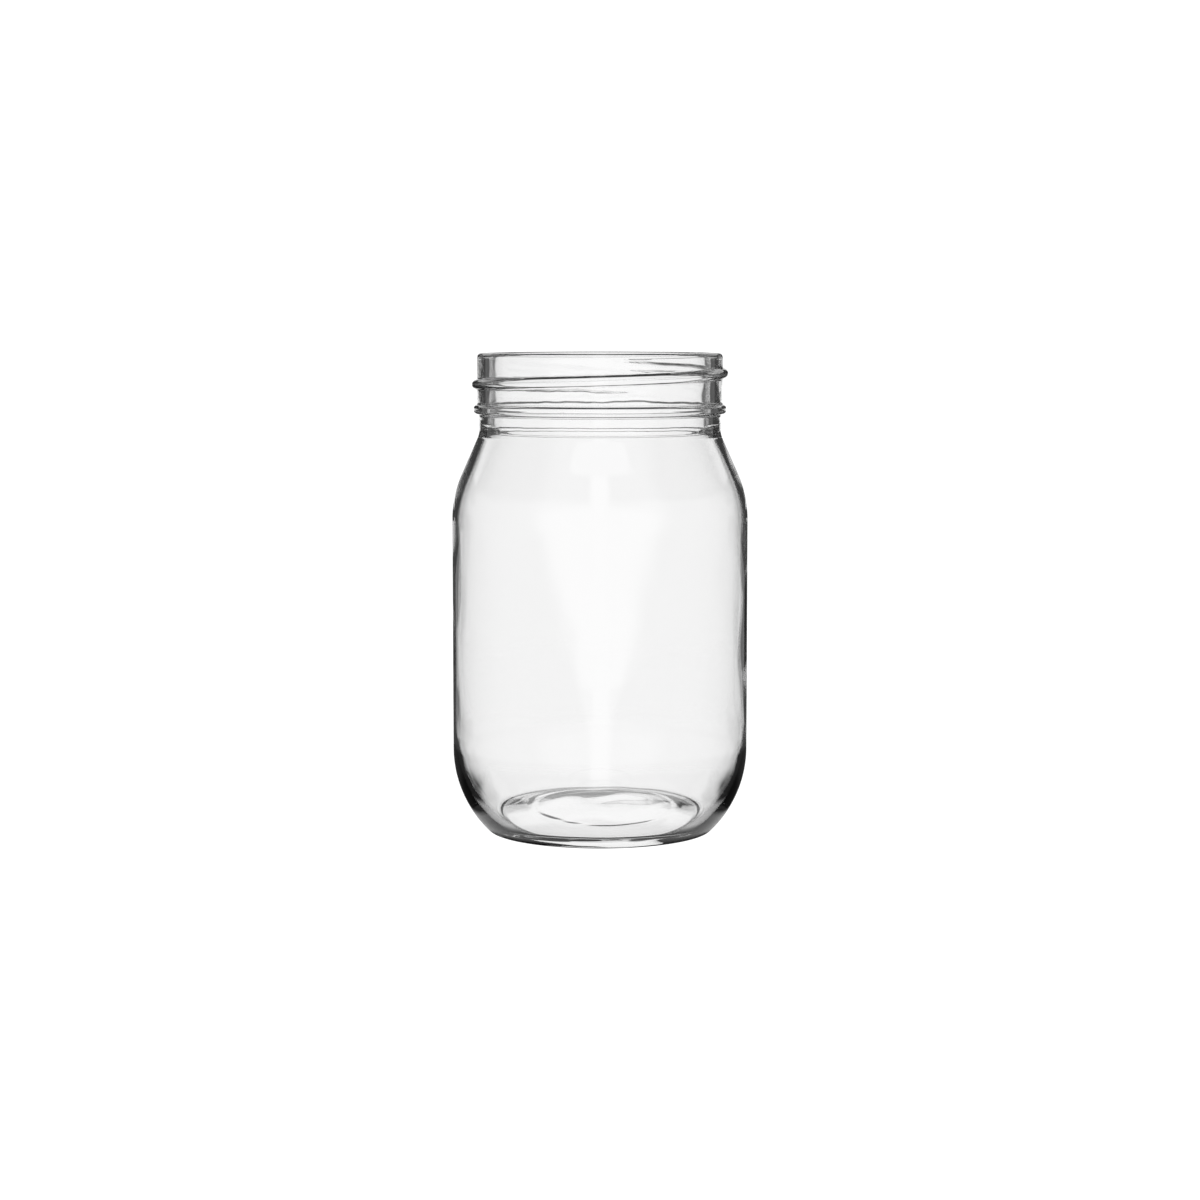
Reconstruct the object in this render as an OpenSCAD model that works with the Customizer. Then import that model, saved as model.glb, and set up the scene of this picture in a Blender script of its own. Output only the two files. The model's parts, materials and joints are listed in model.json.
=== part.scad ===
// Mason jar for a 70 mm screw lid: one piece of blown glass.
// The origin is the centre of the ring that the jar rests on, with the axis along +Z.
// An outline is a list of corners [radius from the axis, height, rounding], counter-clockwise.

/* [Body] */
// Height of the jar, from the resting ring to the rim
jar_h = 131.5; // [127:0.5:150]
// Outer diameter of the straight body
body_d = 81; // [79:0.2:83]
// Thickness of the wall in the middle of the body, where it is thinnest
wall = 1.5; // [1.2:0.1:2.6]

/* [Base] */
// Diameter at which the slope of the heel would meet the table
foot_d = 61; // [58:0.2:62]
// Rounding between the heel and the resting ring
foot_round = 2; // [1:0.1:2.4]
// Width of the resting ring, to its inner corner
rest_w = 1.3; // [1:0.1:3]
// Height of the middle of the underside above the table
push_up = 3.2; // [2.4:0.1:4]
// Thickness of the glass in the base
base_t = 3.1; // [2.6:0.1:4]

/* [Shoulder] */
// Distance below the rim of the corner between the shoulder and the body
shoulder_drop = 39; // [35:0.5:42]
// Rounding between the shoulder and the body
shoulder_round = 30; // [15:1:32]
// Distance below the rim of the corner between the neck and the shoulder
neck_drop = 22; // [21:0.1:23]
// Rounding between the neck and the shoulder
neck_round = 6; // [2:0.5:10]

/* [Finish] */
// Outer diameter of the lip, between the screw thread and the rim
lip_d = 67; // [66.6:0.1:67.6]
// Inner diameter of the mouth
mouth_d = 60.4; // [59:0.1:61.4]
// Outer diameter of the neck below the bead
neck_d = 66; // [65.6:0.1:66.6]
// Outer diameter of the bead below the thread
bead_d = 69; // [68.6:0.1:70]
// Distance of the bead's middle below the rim
bead_drop = 15.4; // [15:0.1:16]
// Rounding of the rim towards the outside
rim_out = 1.2; // [0.6:0.1:1.5]
// Rounding of the rim towards the mouth
rim_in = 1; // [0.5:0.1:1.2]

/* [Screw thread] */
// Outer diameter over the thread
thread_d = 70; // [69:0.1:71]
// Rise of the thread in one turn: four turns to the inch
thread_pitch = 6.35; // [5.8:0.05:6.6]
// Width of the thread's ridge where it meets the lip
thread_w = 2.9; // [2.4:0.1:3.6]
// Length of the thread in degrees around the neck
thread_arc = 390; // [300:10:400]
// Direction, seen from above, in which the thread begins at its lower end
thread_from = 60; // [0:5:355]
// Distance below the rim of the thread's lower end
thread_drop = 10.8; // [10.6:0.1:11]

/* [Hidden] */

// Facets on a full circle, and on a rounding of the outline
$fn = 180;
ROUND_FN = 120;

body_r = body_d / 2;
foot_r = foot_d / 2;
lip_r = lip_d / 2;
mouth_r = mouth_d / 2;
neck_r = neck_d / 2;
bead_r = bead_d / 2;

// The heel leaves the table at 45 degrees
HEEL_ANGLE = 45;
HEEL_STRAIGHT = 0.4;

// How much of a side the rounding of the foot or the floor takes up
function foot_share(rounding) = rounding * tan((90 - HEEL_ANGLE) / 2);

// Height of the corner between the heel and the wall above the corner below it
function heel_rise(low_r, high_r) = (high_r - low_r) / tan(HEEL_ANGLE);

// The largest arc between the heel and the wall, beside a smaller rounding at its foot
function heel_arc(low_r, high_r, rounding) =
    let (side = norm([high_r - low_r, heel_rise(low_r, high_r)]))
    (side - foot_share(rounding) - HEEL_STRAIGHT) / tan(HEEL_ANGLE / 2);

// The underside rises from the resting ring in a short step, and then as a dome to the middle
STEP_W = 0.8;
STEP_H = 0.5;
STEP_ROUND = 1.2;
REST_ROUND = 0.5;
rest_out = foot_r - foot_share(foot_round);
rest_in = rest_out - rest_w;

// The dome is drawn round a corner at this radius, and its arc takes up this share of it
DOME_R = 13.5;
DOME_SHARE = 0.8;

// The largest arc that turns a level line down by this much over this distance
function dome_arc(drop, run) = DOME_SHARE * DOME_R / tan(atan(drop / run) / 2);

// The floor runs parallel to the underside, and its corner lies a little inside the foot's
FLOOR_ROUND = 2;
FLOOR_IN = 0.9;
floor_z = STEP_H + base_t;
floor_top = push_up + base_t;
floor_r = foot_r - FLOOR_IN;
wall_r = body_r - wall;

// The inner corners of the shoulder lie a little below and above its outer ones, so that the
// glass thickens from the body up to the neck
SHOULDER_IN_DROP = 0.6;
NECK_IN_RISE = 2;
MOUTH_ROUND = 8;
shoulder_z = jar_h - shoulder_drop;
neck_z = jar_h - neck_drop;

// The bead is this high between its corners, and a little wider at its root
BEAD_H = 2;
BEAD_FLARE = 0.4;
BEAD_ROUND = 0.95;
BEAD_FILLET = 0.4;
bead_z = jar_h - bead_drop;

// Sections along the thread, points across its ridge, and how its ends fade into the lip
THREAD_STEP = 6;
RIDGE_STEPS = 8;
THREAD_ROOT = 0.6;
THREAD_FADE = 36;
THREAD_LEAST = 0.2;

// How far the cavity reaches past the rim
OVER = 1;

// How far a corner's tip reaches, as a share of its distance from the arc's centre
TIP_REACH = 1.1;
HAIR = 0.003;

// Direction from point a to point b
function toward(a, b) = (b - a) / norm(b - a);

// Angle turned at p on the way from a to b: positive to the left
function turned(a, p, b) =
    let (u = toward(a, p), v = toward(p, b))
    atan2(u.x * v.y - u.y * v.x, u * v);

// The place of corner i, without its rounding
function place(corners, i) =
    let (c = corners[(i + len(corners)) % len(corners)])
    [c.x, c.y];

// Angle turned at corner i
function turn_at(corners, i) =
    turned(place(corners, i - 1), place(corners, i), place(corners, i + 1));

// Where the rounding of corner i leaves its side towards corner j
function tangent(corners, i, j) =
    place(corners, i) + toward(place(corners, i), place(corners, j))
        * corners[i][2] * tan(abs(turn_at(corners, i)) / 2);

// Centre of the rounding of corner i
function round_centre(corners, i) =
    let (p = place(corners, i), half = abs(turn_at(corners, i)) / 2)
    p + toward([0, 0], toward(p, place(corners, i - 1)) + toward(p, place(corners, i + 1)))
        * corners[i][2] / cos(half);

// Outline with true arcs: its inward corners are filled, and then its outward ones are cut
module rounded_outline(corners) {
    last = len(corners) - 1;
    difference() {
        union() {
            polygon([for (i = [0 : last]) place(corners, i)]);
            for (i = [0 : last])
                if (corners[i][2] > 0 && turn_at(corners, i) < 0) tip(corners, i);
        }
        for (i = [0 : last])
            if (corners[i][2] > 0 && turn_at(corners, i) > 0) tip(corners, i);
    }
}

// What lies past the arc of corner i. It reaches a little beyond the corner, and its arc is
// drawn a hair large, so that it crosses the straight sides instead of only touching them.
module tip(corners, i) {
    centre = round_centre(corners, i);
    beyond = centre + (place(corners, i) - centre) * TIP_REACH;
    difference() {
        polygon([tangent(corners, i, i - 1), beyond, tangent(corners, i, i + 1)]);
        translate(centre) circle(r = corners[i][2] + HAIR, $fn = ROUND_FN);
    }
}

// Outer surface: underside, heel, body, shoulder, bead and rim, as if the jar were full
function outer_corners() = [
    [0, push_up, 0],
    [DOME_R, push_up, dome_arc(push_up - STEP_H, rest_in - STEP_W - DOME_R)],
    [rest_in - STEP_W, STEP_H, STEP_ROUND],
    [rest_in, 0, REST_ROUND],
    [foot_r, 0, foot_round],
    [body_r, heel_rise(foot_r, body_r), heel_arc(foot_r, body_r, foot_round)],
    [body_r, shoulder_z, shoulder_round],
    [neck_r, neck_z, neck_round],
    [neck_r, bead_z - BEAD_H / 2 - BEAD_FLARE, BEAD_FILLET],
    [bead_r, bead_z - BEAD_H / 2, BEAD_ROUND],
    [bead_r, bead_z + BEAD_H / 2, BEAD_ROUND],
    [lip_r, bead_z + BEAD_H / 2 + BEAD_FLARE, BEAD_FILLET],
    [lip_r, jar_h, rim_out],
    [0, jar_h, 0]
];

// The hollow: floor, inner heel, wall, inner shoulder and mouth
function inner_corners() = [
    [0, floor_top, 0],
    [DOME_R, floor_top, dome_arc(floor_top - floor_z, floor_r - DOME_R)],
    [floor_r, floor_z, FLOOR_ROUND],
    [wall_r, floor_z + heel_rise(floor_r, wall_r), heel_arc(floor_r, wall_r, FLOOR_ROUND)],
    [wall_r, shoulder_z - SHOULDER_IN_DROP, shoulder_round],
    [mouth_r, neck_z + NECK_IN_RISE, MOUTH_ROUND],
    [mouth_r, jar_h, rim_in],
    [mouth_r + rim_in, jar_h, 0],
    [mouth_r + rim_in, jar_h + OVER, 0],
    [0, jar_h + OVER, 0]
];

// Height of the ridge at an angle along the thread, as a share of its full height
function fade(along) =
    let (nearest_end = min(along, thread_arc - along))
    THREAD_LEAST + (1 - THREAD_LEAST) * sin(90 * min(1, nearest_end / THREAD_FADE));

// One section of the thread, closed by a point inside the neck's wall
function ridge_section(along) =
    let (
        root_r = lip_r - THREAD_ROOT,
        full = thread_d / 2 - root_r,
        height = full * fade(along),
        half = thread_w / 2 / sin(acos(THREAD_ROOT / full)),
        middle_z = jar_h - thread_drop + thread_pitch * along / 360,
        around = thread_from + along
    )
    [
        for (k = [0 : RIDGE_STEPS])
            let (
                sweep = -90 + 180 * k / RIDGE_STEPS,
                r = root_r + height * cos(sweep),
                z = middle_z + half * sin(sweep)
            )
            [r * cos(around), r * sin(around), z]
    ];

// The screw thread: a round ridge swept along a right-handed helix
module thread() {
    sections = floor(thread_arc / THREAD_STEP);
    across = RIDGE_STEPS + 1;
    points = [for (s = [0 : sections]) each ridge_section(thread_arc * s / sections)];
    sides = [
        for (s = [0 : sections - 1], k = [0 : across - 1])
            let (
                a = s * across + k,
                b = s * across + (k + 1) % across,
                c = b + across,
                d = a + across
            )
            each [[a, b, c], [a, c, d]]
    ];
    first = [for (k = [across - 1 : -1 : 0]) k];
    last = [for (k = [0 : across - 1]) sections * across + k];
    polyhedron(points, concat(sides, [first, last]));
}

// The glass jar
module jar() {
    color([0.93, 0.94, 0.94, 0.4])
        difference() {
            union() {
                rotate_extrude() rounded_outline(outer_corners());
                thread();
            }
            rotate_extrude() rounded_outline(inner_corners());
        }
}

jar();
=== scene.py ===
import json
import math

import bpy
import numpy as np
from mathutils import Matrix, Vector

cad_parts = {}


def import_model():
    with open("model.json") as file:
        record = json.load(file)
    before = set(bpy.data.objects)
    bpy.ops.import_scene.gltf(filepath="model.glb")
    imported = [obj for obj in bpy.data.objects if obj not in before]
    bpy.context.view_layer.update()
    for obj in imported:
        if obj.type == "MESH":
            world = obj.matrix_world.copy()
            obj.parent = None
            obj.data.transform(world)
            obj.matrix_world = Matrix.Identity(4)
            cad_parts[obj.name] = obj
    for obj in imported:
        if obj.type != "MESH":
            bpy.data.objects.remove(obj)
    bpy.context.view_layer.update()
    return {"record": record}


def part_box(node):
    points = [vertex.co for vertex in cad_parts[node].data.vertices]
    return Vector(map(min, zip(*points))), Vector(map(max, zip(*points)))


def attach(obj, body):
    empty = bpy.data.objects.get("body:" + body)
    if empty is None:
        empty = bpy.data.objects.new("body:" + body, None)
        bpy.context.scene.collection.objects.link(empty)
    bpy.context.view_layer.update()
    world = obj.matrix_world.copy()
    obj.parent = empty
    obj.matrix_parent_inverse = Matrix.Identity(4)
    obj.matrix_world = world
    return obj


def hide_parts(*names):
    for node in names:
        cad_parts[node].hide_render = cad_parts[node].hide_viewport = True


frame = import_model()
MM = 0.001

# ---------------------------------------------------------------- sizes, in millimetres

# The height, the body's radius and the mouth come from the frame. The others follow part.scad,
# a few of them rounded.
low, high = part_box("jar")
MOUNTS = {m["name"]: m for m in frame["record"]["mounts"]}
JAR_H = high.z / MM
BODY_R = (high.x - low.x) / 2 / MM
MOUTH_R = MOUNTS["mouth"]["dims"]["r_mm"]
LIP_R = 33.5
NECK_R = 33.0
BEAD_R = 34.5
BEAD_Z = JAR_H - 15.4
BEAD_HALF = 1.0
FLARE = 0.4
BEAD_ROUND = 0.95
BEAD_FILLET = 0.4
RIM_OUT = 1.2
RIM_IN = 0.999
# Inner edge of the sealing land past the mouth's radius, and the hair that closes the land there
LAND_IN = 1.0
LAND_HAIR = 0.02
WALL = 1.5
SHOULDER_DROP = 39
SHOULDER_ROUND = 30
SHOULDER_IN_DROP = 0.6
NECK_DROP = 22
NECK_ROUND = 6
NECK_IN_RISE = 2
MOUTH_ROUND = 8

# The heel, with its outer arc, and the resting ring with the short step inside it
FOOT_R = 30.5
FOOT_ROUND = 2
HEEL_OUT_ARC = 31.17
HEEL_STRAIGHT = 0.4
REST_IN = 28.4
REST_ROUND = 0.5
STEP_W = 0.8
STEP_H = 0.5
STEP_ROUND = 1.2

# The domes of the underside and the floor share a corner's radius and an arc
UNDER_Z = 3.2
FLOOR_Z = 3.6
FLOOR_R = 29.6
FLOOR_ROUND = 2
CROWN = 2.7
DOME_CORNER = 13.5
DOME_ROUND = 113.0

# Both outlines stop this far from the axis, and one point closes each
AXIS_GAP = 0.4

# The screw thread: a right-handed helix of an elliptical ridge that fades out at both ends
PITCH = 6.35
THREAD_FROM = 60.0
THREAD_ARC = 390.0
THREAD_DROP = 10.8
FADE = 36.0
RIDGE_HALF = 1.513
RIDGE_FULL = 2.1
THREAD_ROOT = 0.6
THREAD_FILLET = 0.35

# Quads round the jar, few enough that the piece stays under 200,000 triangles
COLUMNS = 216

# ---------------------------------------------------------------- outlines


def arc_points(before, corner, after, steps):
    """Points on the arc that rounds a corner (radius, height, rounding)."""
    p = np.array(corner[:2])
    u = p - np.array(before[:2])
    v = np.array(after[:2]) - p
    u, v = u / np.linalg.norm(u), v / np.linalg.norm(v)
    turn = math.atan2(u[0] * v[1] - u[1] * v[0], u @ v)
    start = p - u * corner[2] * math.tan(abs(turn) / 2)
    side = math.copysign(1, turn)
    centre = start + side * corner[2] * np.array([-u[1], u[0]])
    spoke = start - centre
    out = []
    for k in range(steps + 1):
        a = turn * k / steps
        c, s = math.cos(a), math.sin(a)
        out.append(centre + np.array([c * spoke[0] - s * spoke[1], s * spoke[0] + c * spoke[1]]))
    return out


def outline(corners):
    """Points along corners (radius, height, rounding, steps in the arc, longest step after it)."""
    stretches = []
    for i, c in enumerate(corners):
        if c[2] > 0:
            stretches.append(arc_points(corners[i - 1], c, corners[i + 1], c[3]))
        else:
            stretches.append([np.array(c[:2])])
    points = []
    for i, part in enumerate(stretches):
        points += part
        if i + 1 < len(stretches):
            a, b = part[-1], stretches[i + 1][0]
            n = max(1, math.ceil(np.linalg.norm(b - a) / corners[i][4]))
            points += [a + (b - a) * k / n for k in range(1, n)]
    return np.array(points)


def outer_outline():
    """Underside, heel, body, shoulder, neck, bead, lip and rim, from the axis outwards."""
    heel_z = BODY_R - FOOT_R
    return outline([
        (AXIS_GAP, UNDER_Z, 0, 0, 0.5),
        (DOME_CORNER, UNDER_Z, DOME_ROUND, 24, 0.5),
        (REST_IN - STEP_W, STEP_H, STEP_ROUND, 6, 0.3),
        (REST_IN, 0, REST_ROUND, 5, 0.25),
        (FOOT_R, 0, FOOT_ROUND, 10, 0.5),
        (BODY_R, heel_z, HEEL_OUT_ARC, 30, 3),
        (BODY_R, JAR_H - SHOULDER_DROP, SHOULDER_ROUND, 16, 1.5),
        (NECK_R, JAR_H - NECK_DROP, NECK_ROUND, 12, 0.5),
        (NECK_R, BEAD_Z - BEAD_HALF - FLARE, BEAD_FILLET, 4, 0.2),
        (BEAD_R, BEAD_Z - BEAD_HALF, BEAD_ROUND, 8, 0.3),
        (BEAD_R, BEAD_Z + BEAD_HALF, BEAD_ROUND, 8, 0.2),
        (LIP_R, BEAD_Z + BEAD_HALF + FLARE, BEAD_FILLET, 4, 0.2),
        (LIP_R, JAR_H, RIM_OUT, 8, 0.3),
        (MOUTH_R + LAND_IN + LAND_HAIR, JAR_H, 0, 0, 1),
    ])


def inner_outline():
    """Mouth, inner shoulder, wall, inner heel and floor, from the rim inwards."""
    wall_r = BODY_R - WALL
    rise = wall_r - FLOOR_R
    arc = (rise * math.sqrt(2) - HEEL_STRAIGHT) / math.tan(math.pi / 8) - FLOOR_ROUND
    return outline([
        (MOUTH_R + LAND_IN, JAR_H, 0, 0, 1),
        (MOUTH_R, JAR_H, RIM_IN, 8, 1.0),
        (MOUTH_R, JAR_H - NECK_DROP + NECK_IN_RISE, MOUTH_ROUND, 12, 1.2),
        (wall_r, JAR_H - SHOULDER_DROP - SHOULDER_IN_DROP, SHOULDER_ROUND, 16, 2),
        (wall_r, FLOOR_Z + rise, arc, 26, 1),
        (FLOOR_R, FLOOR_Z, FLOOR_ROUND, 14, 0.5),
        (DOME_CORNER, FLOOR_Z + CROWN, DOME_ROUND, 24, 0.5),
        (AXIS_GAP, FLOOR_Z + CROWN, 0, 0, 1),
    ])


# ---------------------------------------------------------------- surface detail


def smooth_max(a, b, k):
    """The larger of two heights, with a fillet of about k where they meet."""
    h = np.clip(0.5 + 0.5 * (a - b) / k, 0, 1)
    return b + (a - b) * h + k * h * (1 - h)


def thread_height(angle, z):
    """How far the screw thread's ridge stands out of the lip at these angles and heights."""
    best = np.full(np.broadcast(angle, z).shape, -1.0)
    for turn in (0, 1):
        along = (angle - THREAD_FROM) % 360 + 360 * turn
        inside = (along >= 0) & (along <= THREAD_ARC)
        end = np.clip(np.minimum(along, THREAD_ARC - along) / FADE, 0, 1)
        fade = np.where(inside, np.sin(end * np.pi / 2), 0)
        middle = JAR_H - THREAD_DROP + PITCH * along / 360
        off = (z - middle) / RIDGE_HALF
        ridge = RIDGE_FULL * fade * np.sqrt(np.clip(1 - off ** 2, 0, 1)) - THREAD_ROOT
        best = np.maximum(best, ridge)
    return best


def waves(across, along, terms):
    """Sum of plain waves: each term is (height, waves per unit across, per unit along, phase)."""
    total = 0 * (across + along)
    for height, across_rate, along_rate, phase in terms:
        total = total + height * np.sin(across_rate * across + along_rate * along + phase)
    return total


# Waves of the inner wall, over the angle in radians and the height in millimetres
WALL_WAVES = [
    (0.040, 2, 0.050, 0.4), (0.035, 3, -0.085, 2.1), (0.025, 5, 0.120, 4.0),
    (0.016, 8, -0.160, 1.2), (0.010, 13, 0.210, 3.3), (0.004, 21, -0.300, 0.7),
]
# Finer waves of the inner side of the neck
NECK_WAVES = [
    (0.0025, 31, 0.9, 0.3), (0.002, 44, -1.3, 2.2), (0.001, 57, 1.9, 5.1), (0.004, 11, -0.6, 1.0),
]
# Waves of the floor, over x and y in millimetres
FLOOR_WAVES = [
    (0.06, 0.25, 0.12, 0.5), (0.05, -0.14, 0.30, 2.4), (0.03, 0.42, -0.20, 4.4),
    (0.02, 0.10, 0.55, 1.3), (0.01, -0.60, 0.35, 3.0),
]


# The mould's ring: radius, width and height, its centre's offset and its stretch in x and y
SCAR_R = 19.3
SCAR_W = 0.45
SCAR_H = 0.16
SCAR_X = 1.2
SCAR_STRETCH = (1.03, 1.1)


def scar(x, y):
    """Height of the uneven ring that the mould leaves in the underside."""
    x = (x - SCAR_X) / SCAR_STRETCH[0]
    y = y / SCAR_STRETCH[1]
    around = np.arctan2(y, x)
    ring = SCAR_R + 0.35 * np.sin(2 * around + 1) + 0.22 * np.sin(3 * around)
    ring = ring + 0.12 * np.sin(7 * around + 2)
    off = (np.hypot(x, y) - ring) / SCAR_W
    return SCAR_H * (1 + 0.5 * np.sin(around + 3.6)) * np.exp(-off ** 2)


def plateau(value, start, full, end_full, end):
    """0 before start, 1 between full and end_full, 0 past end."""
    up = np.clip((value - start) / (full - start), 0, 1)
    down = np.clip((end - value) / (end - end_full), 0, 1)
    up, down = up * up * (3 - 2 * up), down * down * (3 - 2 * down)
    return up * down


# Where each kind of wave fades in and out: start, full, end of full, end
WALL_SPAN = (8, 22, JAR_H - 16, JAR_H - 4)
NECK_SPAN = (JAR_H - 26, JAR_H - 20, JAR_H - 4, JAR_H - 1.5)
FLOOR_SPAN = (-1, -0.5, FOOT_R - 6, FOOT_R + 1)
# The thread lies on the lip from this far above the bead's middle
LIP_FROM = 1.2
# The mould's ring is drawn at least this far inside the resting ring, below this height
SCAR_CLEAR = 1
SCAR_BELOW = 5
# The floor's waves are drawn below this height
FLOOR_BELOW = 10


def jar_points():
    """Vertices as an array [row, column, xyz] in millimetres."""
    angle = (np.arange(COLUMNS) * 2 * np.pi / COLUMNS)[None, :]
    deg = np.degrees(angle)
    outer = outer_outline()
    inner = inner_outline()
    r, z = outer[:, :1], outer[:, 1:]
    lip = (z > BEAD_Z + LIP_FROM) & (z < JAR_H)
    ridge = thread_height(deg, z)
    raised = np.maximum(smooth_max(ridge, 0 * ridge, THREAD_FILLET), 0)
    r_out = np.where(lip, r + raised, r)
    x, y = r_out * np.cos(angle), r_out * np.sin(angle)
    under = (r < REST_IN - SCAR_CLEAR) & (z < SCAR_BELOW)
    z_out = z + np.where(under, scar(x, y), 0)
    out = np.stack([x, y, z_out], axis=2)
    r, z = inner[:, :1], inner[:, 1:]
    wall = plateau(z, *WALL_SPAN) * waves(angle, z, WALL_WAVES)
    neck = plateau(z, *NECK_SPAN) * waves(angle, z, NECK_WAVES)
    r_in = r + wall + neck
    x, y = r_in * np.cos(angle), r_in * np.sin(angle)
    bottom = plateau(r, *FLOOR_SPAN) * (z < FLOOR_BELOW)
    inn = np.stack([x, y, z + bottom * waves(x, y, FLOOR_WAVES)], axis=2)
    return np.concatenate([out, inn])


def jar_mesh():
    """The jar's closed surface: a grid of quads, with a fan at each end of the axis."""
    grid = jar_points()
    rows, cols = grid.shape[:2]
    verts = [tuple(p) for p in (grid * MM).reshape(-1, 3)]
    first = len(verts)
    verts.append((0, 0, grid[0, :, 2].mean() * MM))
    verts.append((0, 0, grid[-1, :, 2].mean() * MM))
    faces = []
    for i in range(rows - 1):
        for j in range(cols):
            k = (j + 1) % cols
            faces.append((i * cols + j, i * cols + k, (i + 1) * cols + k, (i + 1) * cols + j))
    for j in range(cols):
        k = (j + 1) % cols
        faces.append((first, k, j))
        faces.append((first + 1, (rows - 1) * cols + j, (rows - 1) * cols + k))
    mesh = bpy.data.meshes.new("jar_glass")
    mesh.from_pydata(verts, [], faces)
    mesh.polygons.foreach_set("use_smooth", [True] * len(mesh.polygons))
    mesh.validate()
    mesh.update()
    return mesh


# ---------------------------------------------------------------- glass

STREAK_STRETCH = (1, 1, 0.3)
STREAK_SCALE = 90
STREAK_DETAIL = 3
TINT = (0.985, 1.0)
RIPPLE_SCALE = 80
RIPPLE_DETAIL = 1
RIPPLE_STRENGTH = 0.01
RIPPLE_DEPTH = 0.0004


def noise(tree, place, scale, detail):
    n = tree.nodes.new("ShaderNodeTexNoise")
    n.inputs["Scale"].default_value = scale
    n.inputs["Detail"].default_value = detail
    tree.links.new(place, n.inputs["Vector"])
    return n.outputs[0]


def glass():
    """Clear neutral glass with faint upright streaks and the slightest ripple."""
    mat = bpy.data.materials.new("glass")
    mat.use_nodes = True
    t = mat.node_tree
    bsdf = t.nodes["Principled BSDF"]
    place = t.nodes.new("ShaderNodeTexCoord").outputs["Object"]
    streaks = t.nodes.new("ShaderNodeMapping")
    streaks.inputs["Scale"].default_value = STREAK_STRETCH
    t.links.new(place, streaks.inputs["Vector"])
    tint = noise(t, streaks.outputs[0], STREAK_SCALE, STREAK_DETAIL)
    ramp = t.nodes.new("ShaderNodeMapRange")
    ramp.inputs["To Min"].default_value = TINT[0]
    ramp.inputs["To Max"].default_value = TINT[1]
    t.links.new(tint, ramp.inputs["Value"])
    colour = t.nodes.new("ShaderNodeCombineColor")
    for name in ("Red", "Green", "Blue"):
        t.links.new(ramp.outputs["Result"], colour.inputs[name])
    t.links.new(colour.outputs[0], bsdf.inputs["Base Color"])
    bump = t.nodes.new("ShaderNodeBump")
    bump.inputs["Strength"].default_value = RIPPLE_STRENGTH
    bump.inputs["Distance"].default_value = RIPPLE_DEPTH
    t.links.new(noise(t, place, RIPPLE_SCALE, RIPPLE_DETAIL), bump.inputs["Height"])
    t.links.new(bump.outputs[0], bsdf.inputs["Normal"])
    bsdf.inputs["Roughness"].default_value = 0.0
    bsdf.inputs["IOR"].default_value = 1.5
    bsdf.inputs["Transmission Weight"].default_value = 1
    return mat


def add(name, mesh):
    obj = bpy.data.objects.new(name, mesh)
    bpy.context.scene.collection.objects.link(obj)
    return obj


jar = add("jar_glass", jar_mesh())
jar.data.materials.append(glass())
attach(jar, "root")
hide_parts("jar")

# ---------------------------------------------------------------- stage

# The light is not a plain soft studio light. The world is painted by direction for the camera
# below and for views from 45 and 225 degrees round. It and the floor also change with how many
# times a ray has been mirrored, which real light cannot do. From other directions, such as 22,
# 67, 90 and 270 degrees round, the jar looks dark and banded.
# Directions are in degrees: "back" is measured from straight behind the jar and "el" upwards.
# A pair says where a soft edge begins and where it ends.

def link_or_set(tree, socket, value):
    if isinstance(value, (int, float)):
        socket.default_value = value
    else:
        tree.links.new(value, socket)


def math_node(tree, op, a, b=None):
    n = tree.nodes.new("ShaderNodeMath")
    n.operation = op
    link_or_set(tree, n.inputs[0], a)
    if b is not None:
        link_or_set(tree, n.inputs[1], b)
    return n.outputs[0]


def step_node(tree, value, start, end, low=0.0, high=1.0):
    """A smooth step from low at start to high at end."""
    n = tree.nodes.new("ShaderNodeMapRange")
    n.interpolation_type = "SMOOTHERSTEP"
    tree.links.new(value, n.inputs["Value"])
    n.inputs["From Min"].default_value = start
    n.inputs["From Max"].default_value = end
    n.inputs["To Min"].default_value = low
    n.inputs["To Max"].default_value = high
    return n.outputs["Result"]


# Brightness: the darkest and lightest that glass shows, plain white, and the grey room
DARK = 0.02
WHITE = 1.0
SHOWN_WHITE = 1.15
ROOM = 0.45

# Seen through the glass: a field straight behind, and narrower ones straight in front and on
# the diagonals. The diagonal ones were put there for the closing views from 45 and 225 degrees.
# One was meant for the sides as well, but there is none.
MAIN_FIELD = (16.0, 20.0)
SIDE_FIELD = (9.0, 13.0)
FIELD_TOP = (30.0, 42.0)
FIELD_FOOT = (-22.0, -17.0)
SIDE_GREY = 0.5

# The elevations at which the room comes nearer, and where it begins there and elsewhere
BODY_LOW = (-9.0, -8.2)
SEEN_BODY_HIGH = (-4.5, -3.8)
ROOM_BODY_HIGH = (-5.4, -3.8)
ROOM_NEAR = 24.0
ROOM_FAR = 42.0

# Mirrored in the glass: the glow in front, which narrows downwards, a field behind, and the room
GLOW_RISE = (-10.0, -2.0)
GLOW_HALF = (8.0, 62.0)
GLOW_EDGE = (0.5, 1.5)
GLOW_LEVEL = 0.9
GLOW_TOP = (60, 80)
WIDE_LOW = (-2.6, -2.2)
WIDE_HIGH = (-1.3, -1.0)
MIRROR_FIELD = (8.5, 11)
MIRROR_FIELD_TOP = (22, 32)
ROOM_LEAST = 0.03
ROOM_TOP = (50, 70)
ROOM_FOOT = (-18, -12)

# Mirrored exactly twice and steeply, towards the front or the back: set to this brightness,
# which hides lines of the jar's far side
DEEP = 0.85
SECTOR = (50, 62)
STEEP = (18, 26)
# Mirrored three times or more: dark above and below these, which blackens the foot's ends
BLACK_ABOVE = (0, 3)
BLACK_BELOW = (-13, -10)
# Mirrored once, behind the jar and rising: white, which whitens the middle of the foot
FOOT_SECTOR = (50, 60)
FOOT_RISE = (13, 16)
FOOT_TOP = (30, 36)


def deeper_than(tree, path, times):
    """1 for a ray that has been mirrored more than this many times."""
    return math_node(tree, "GREATER_THAN", path["Glossy Depth"], times + 0.5)


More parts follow.
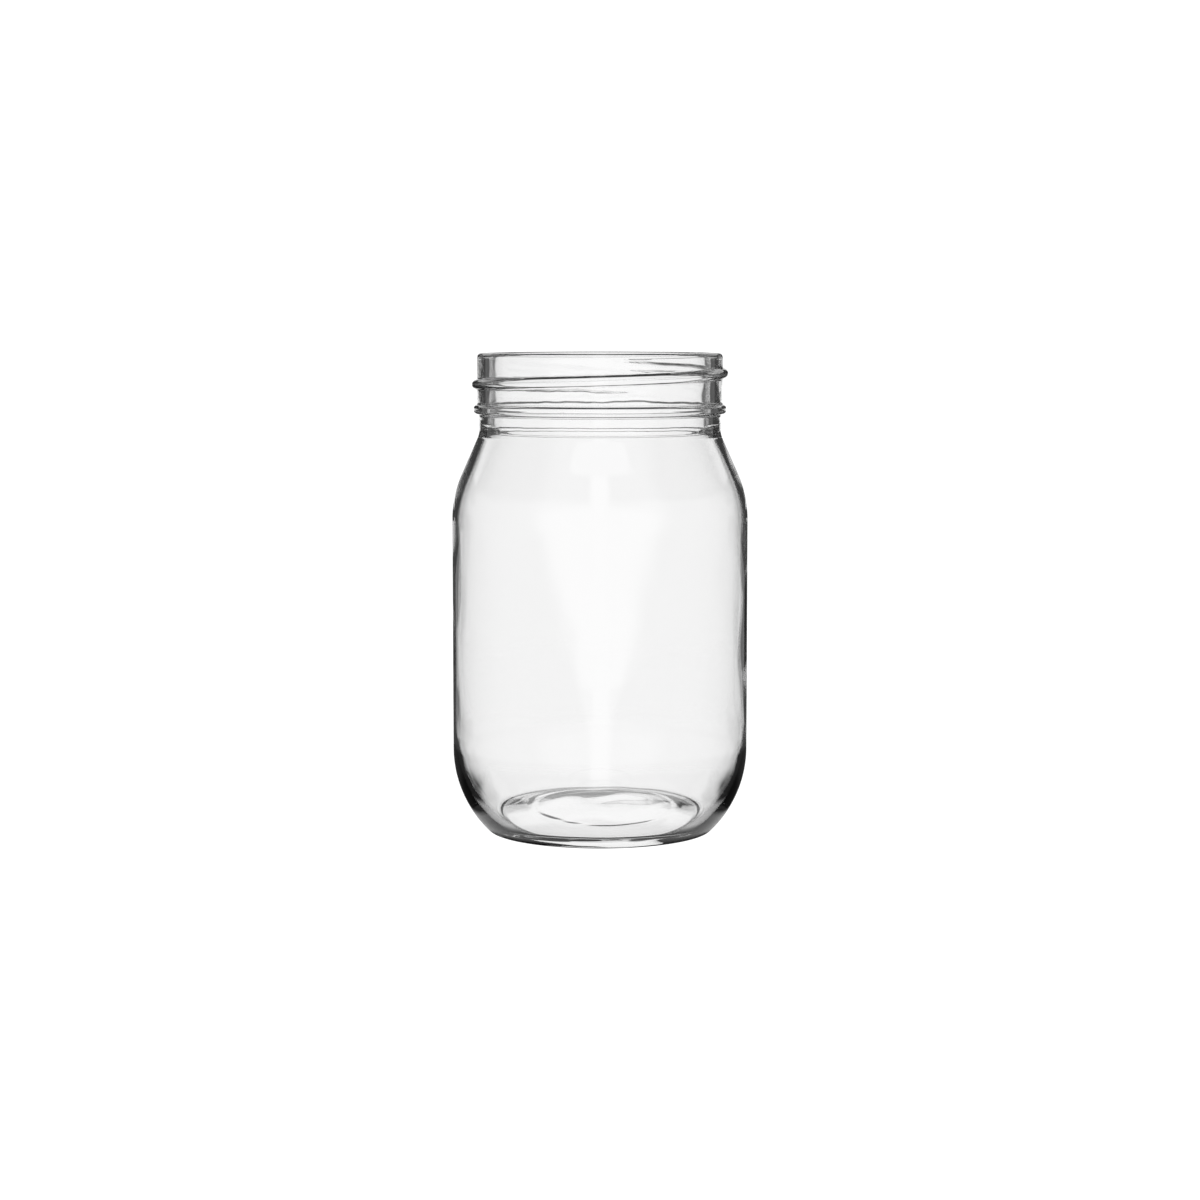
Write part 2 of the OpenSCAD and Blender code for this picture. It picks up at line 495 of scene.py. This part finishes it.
def plain_ray(tree, path):
    """1 for camera and diffuse rays, which see an even white."""
    return math_node(tree, "MAXIMUM", path["Is Camera Ray"], path["Is Diffuse Ray"])


def mix_node(tree, factor, a, b):
    n = tree.nodes.new("ShaderNodeMix")
    n.data_type = "FLOAT"
    for name, value in (("Factor", factor), ("A", a), ("B", b)):
        link_or_set(tree, n.inputs[name], value)
    return n.outputs["Result"]


def fall(tree, value, span):
    """1 up to the first value of span and 0 from the second."""
    return step_node(tree, value, span[0], span[1], 1, 0)


def rise(tree, value, span):
    """0 up to the first value of span and 1 from the second."""
    return step_node(tree, value, span[0], span[1], 0, 1)


def both(tree, a, b):
    return math_node(tree, "MULTIPLY", a, b)


def either(tree, *values):
    """The brightest of the values."""
    out = values[0]
    for v in values[1:]:
        out = math_node(tree, "MAXIMUM", out, v)
    return out


def sector(tree, back):
    """1 towards the front and the back, and 0 at the sides."""
    return fall(tree, math_node(tree, "PINGPONG", back, 90.0), SECTOR)


def room_start(tree, el):
    """How far from the back the grey room begins: nearer at the heights of the plain body."""
    body = both(tree, fall(tree, el, ROOM_BODY_HIGH), rise(tree, el, BODY_LOW))
    return mix_node(tree, body, ROOM_FAR, ROOM_NEAR)


def seen_through(tree, back, el):
    """Brightness of what is seen straight through the glass: bright fields with dark gaps."""
    low_part = rise(tree, el, FIELD_FOOT)
    main = both(tree, fall(tree, back, MAIN_FIELD), low_part)
    ends = both(tree, fall(tree, math_node(tree, "PINGPONG", back, 90.0), SIDE_FIELD), low_part)
    turned = math_node(tree, "PINGPONG", math_node(tree, "ADD", back, 45.0), 45.0)
    diagonal = fall(tree, turned, SIDE_FIELD)
    past = math_node(tree, "SUBTRACT", back, room_start(tree, el))
    grey = step_node(tree, past, 0, 4, 0, SIDE_GREY)
    grey = both(tree, grey, both(tree, fall(tree, el, SEEN_BODY_HIGH), rise(tree, el, BODY_LOW)))
    return both(tree, either(tree, main, ends, diagonal, grey), fall(tree, el, FIELD_TOP))


def mirrored(tree, back, el):
    """Brightness of what is mirrored in the glass: a glow in front, a field behind and a room."""
    front = math_node(tree, "SUBTRACT", 180.0, back)
    share = math_node(tree, "DIVIDE", front, step_node(tree, el, *GLOW_RISE, *GLOW_HALF))
    glow = both(tree, step_node(tree, share, *GLOW_EDGE, GLOW_LEVEL, 0), fall(tree, el, GLOW_TOP))
    wide = both(tree, rise(tree, el, WIDE_LOW), fall(tree, el, WIDE_HIGH))
    wide = math_node(tree, "ADD", wide, 1.0)
    field = fall(tree, math_node(tree, "DIVIDE", back, wide), MIRROR_FIELD)
    field = both(tree, field, fall(tree, el, MIRROR_FIELD_TOP))
    past = math_node(tree, "SUBTRACT", back, room_start(tree, el))
    level = step_node(tree, past, 0, 5, ROOM_LEAST, ROOM)
    room = both(tree, level, both(tree, fall(tree, el, ROOM_TOP), rise(tree, el, ROOM_FOOT)))
    return either(tree, glow, field, room)


def by_depth(tree, back, el, path):
    """Brightness of a direction, changed by how many times the ray has been mirrored."""
    mirror, deep, deeper = (deeper_than(tree, path, times) for times in (0, 1, 2))
    pick = mix_node(tree, mirror, seen_through(tree, back, el), mirrored(tree, back, el))
    black = either(tree, rise(tree, el, BLACK_ABOVE), fall(tree, el, BLACK_BELOW))
    pick = both(tree, pick, mix_node(tree, both(tree, deeper, black), 1.0, 0.0))
    steep = rise(tree, math_node(tree, "ABSOLUTE", el), STEEP)
    lines = both(tree, both(tree, sector(tree, back), steep), mix_node(tree, deeper, 1.0, 0.0))
    pick = mix_node(tree, both(tree, deep, lines), pick, DEEP)
    rising = both(tree, rise(tree, el, FOOT_RISE), fall(tree, el, FOOT_TOP))
    foot = both(tree, rising, fall(tree, back, FOOT_SECTOR))
    return either(tree, pick, both(tree, foot, math_node(tree, "SUBTRACT", mirror, deep)))


def world():
    w = bpy.data.worlds.new("studio")
    bpy.context.scene.world = w
    w.use_nodes = True
    t = w.node_tree
    t.nodes.clear()
    sep = t.nodes.new("ShaderNodeSeparateXYZ")
    t.links.new(t.nodes.new("ShaderNodeTexCoord").outputs["Generated"], sep.inputs[0])
    x, y, z = sep.outputs
    degrees = 180 / math.pi
    back = math_node(t, "ABSOLUTE", math_node(t, "MULTIPLY", math_node(t, "ARCTAN2", x, y), degrees))
    el = math_node(t, "MULTIPLY", math_node(t, "ARCSINE", z), degrees)
    path = t.nodes.new("ShaderNodeLightPath").outputs
    pick = by_depth(t, back, el, path)
    pick = math_node(t, "ADD", math_node(t, "MULTIPLY", pick, WHITE - DARK), DARK)
    bg = t.nodes.new("ShaderNodeBackground")
    bg.inputs["Color"].default_value = (1, 1, 1, 1)
    t.links.new(mix_node(t, plain_ray(t, path), pick, SHOWN_WHITE), bg.inputs["Strength"])
    out = t.nodes.new("ShaderNodeOutputWorld")
    t.links.new(bg.outputs[0], out.inputs["Surface"])


# The floor, in metres: mirrored and refracted rays see it only near the jar and in a strip behind
FLOOR_HALF = 3.0
FLOOR_BELOW_JAR = 0.0002
UNDER_JAR = (0.06, 0.075)
UNDER_SIDE = (0.037, 0.043)
STRIP_FROM = (0.19, 0.26)
STRIP_TO = (0.32, 0.48)
STRIP_SIDE = (0.25, 0.35)
# A painted contact shadow: a dark ring on the floor under the front of the foot
CONTACT_IN = (0.0262, 0.0272)
CONTACT_OUT = (0.0305, 0.0325)
CONTACT_BACK = (-0.012, 0.0)
CONTACT_SHADOW = 0.98
MIRRORED_FLOOR = 0.6


def floor_light(t, y, radius, path):
    """Brightness of the floor: a painted contact shadow in the ring, dimmer when mirrored and black
    when deeper.
    """
    contact_shadow = both(t, rise(t, radius, CONTACT_IN), fall(t, radius, CONTACT_OUT))
    contact_shadow = both(t, contact_shadow, fall(t, y, CONTACT_BACK))
    lit = math_node(t, "SUBTRACT", 1.0, math_node(t, "MULTIPLY", contact_shadow, CONTACT_SHADOW))
    lit = both(t, lit, mix_node(t, deeper_than(t, path, 0), 1.0, MIRRORED_FLOOR))
    return both(t, lit, mix_node(t, deeper_than(t, path, 2), 1.0, 0.0))


def floor_near(t, x, y, radius):
    """1 where mirrored and refracted rays see the floor, and 0 where they pass through it."""
    aside = math_node(t, "DIVIDE", math_node(t, "ABSOLUTE", x), math_node(t, "MAXIMUM", y, 0.001))
    strip = both(t, fall(t, y, STRIP_TO), fall(t, aside, STRIP_SIDE))
    strip = both(t, rise(t, y, STRIP_FROM), strip)
    under = both(t, fall(t, radius, UNDER_JAR), fall(t, math_node(t, "ABSOLUTE", x), UNDER_SIDE))
    return either(t, under, strip)


def floor_material():
    mat = bpy.data.materials.new("floor")
    mat.use_nodes = True
    t = mat.node_tree
    t.nodes.clear()
    sep = t.nodes.new("ShaderNodeSeparateXYZ")
    t.links.new(t.nodes.new("ShaderNodeNewGeometry").outputs["Position"], sep.inputs[0])
    x, y = sep.outputs[0], sep.outputs[1]
    squares = math_node(t, "ADD", both(t, x, x), both(t, y, y))
    radius = math_node(t, "SQRT", squares)
    path = t.nodes.new("ShaderNodeLightPath").outputs
    plain = plain_ray(t, path)
    em = t.nodes.new("ShaderNodeEmission")
    lit = floor_light(t, y, radius, path)
    t.links.new(mix_node(t, plain, lit, SHOWN_WHITE), em.inputs["Strength"])
    clear = t.nodes.new("ShaderNodeBsdfTransparent")
    mix = t.nodes.new("ShaderNodeMixShader")
    shown = math_node(t, "MAXIMUM", plain, floor_near(t, x, y, radius))
    t.links.new(shown, mix.inputs[0])
    t.links.new(clear.outputs[0], mix.inputs[1])
    t.links.new(em.outputs[0], mix.inputs[2])
    out = t.nodes.new("ShaderNodeOutputMaterial")
    t.links.new(mix.outputs[0], out.inputs["Surface"])
    return mat


def floor():
    mesh = bpy.data.meshes.new("floor")
    s = FLOOR_HALF
    mesh.from_pydata([(-s, -s, 0), (s, -s, 0), (s, s, 0), (-s, s, 0)], [], [(0, 1, 2, 3)])
    obj = add("floor", mesh)
    obj.location.z = -FLOOR_BELOW_JAR
    mesh.materials.append(floor_material())


world()
floor()

# ---------------------------------------------------------------- camera

LENS = 83.25
SENSOR = 36
CAMERA_AWAY = 0.76
CAMERA_UP = 0.1388
CAMERA_DOWN_DEGREES = 5.645

cam_data = bpy.data.cameras.new("camera")
cam_data.lens = LENS
cam_data.sensor_width = SENSOR
camera = add("camera", cam_data)
camera.location = (0, -CAMERA_AWAY, CAMERA_UP)
camera.rotation_euler = (math.radians(90 - CAMERA_DOWN_DEGREES), 0, 0)
bpy.context.scene.camera = camera

scene = bpy.context.scene
scene.view_settings.view_transform = "Standard"
scene.cycles.max_bounces = 32
scene.cycles.transmission_bounces = 32
scene.cycles.glossy_bounces = 16
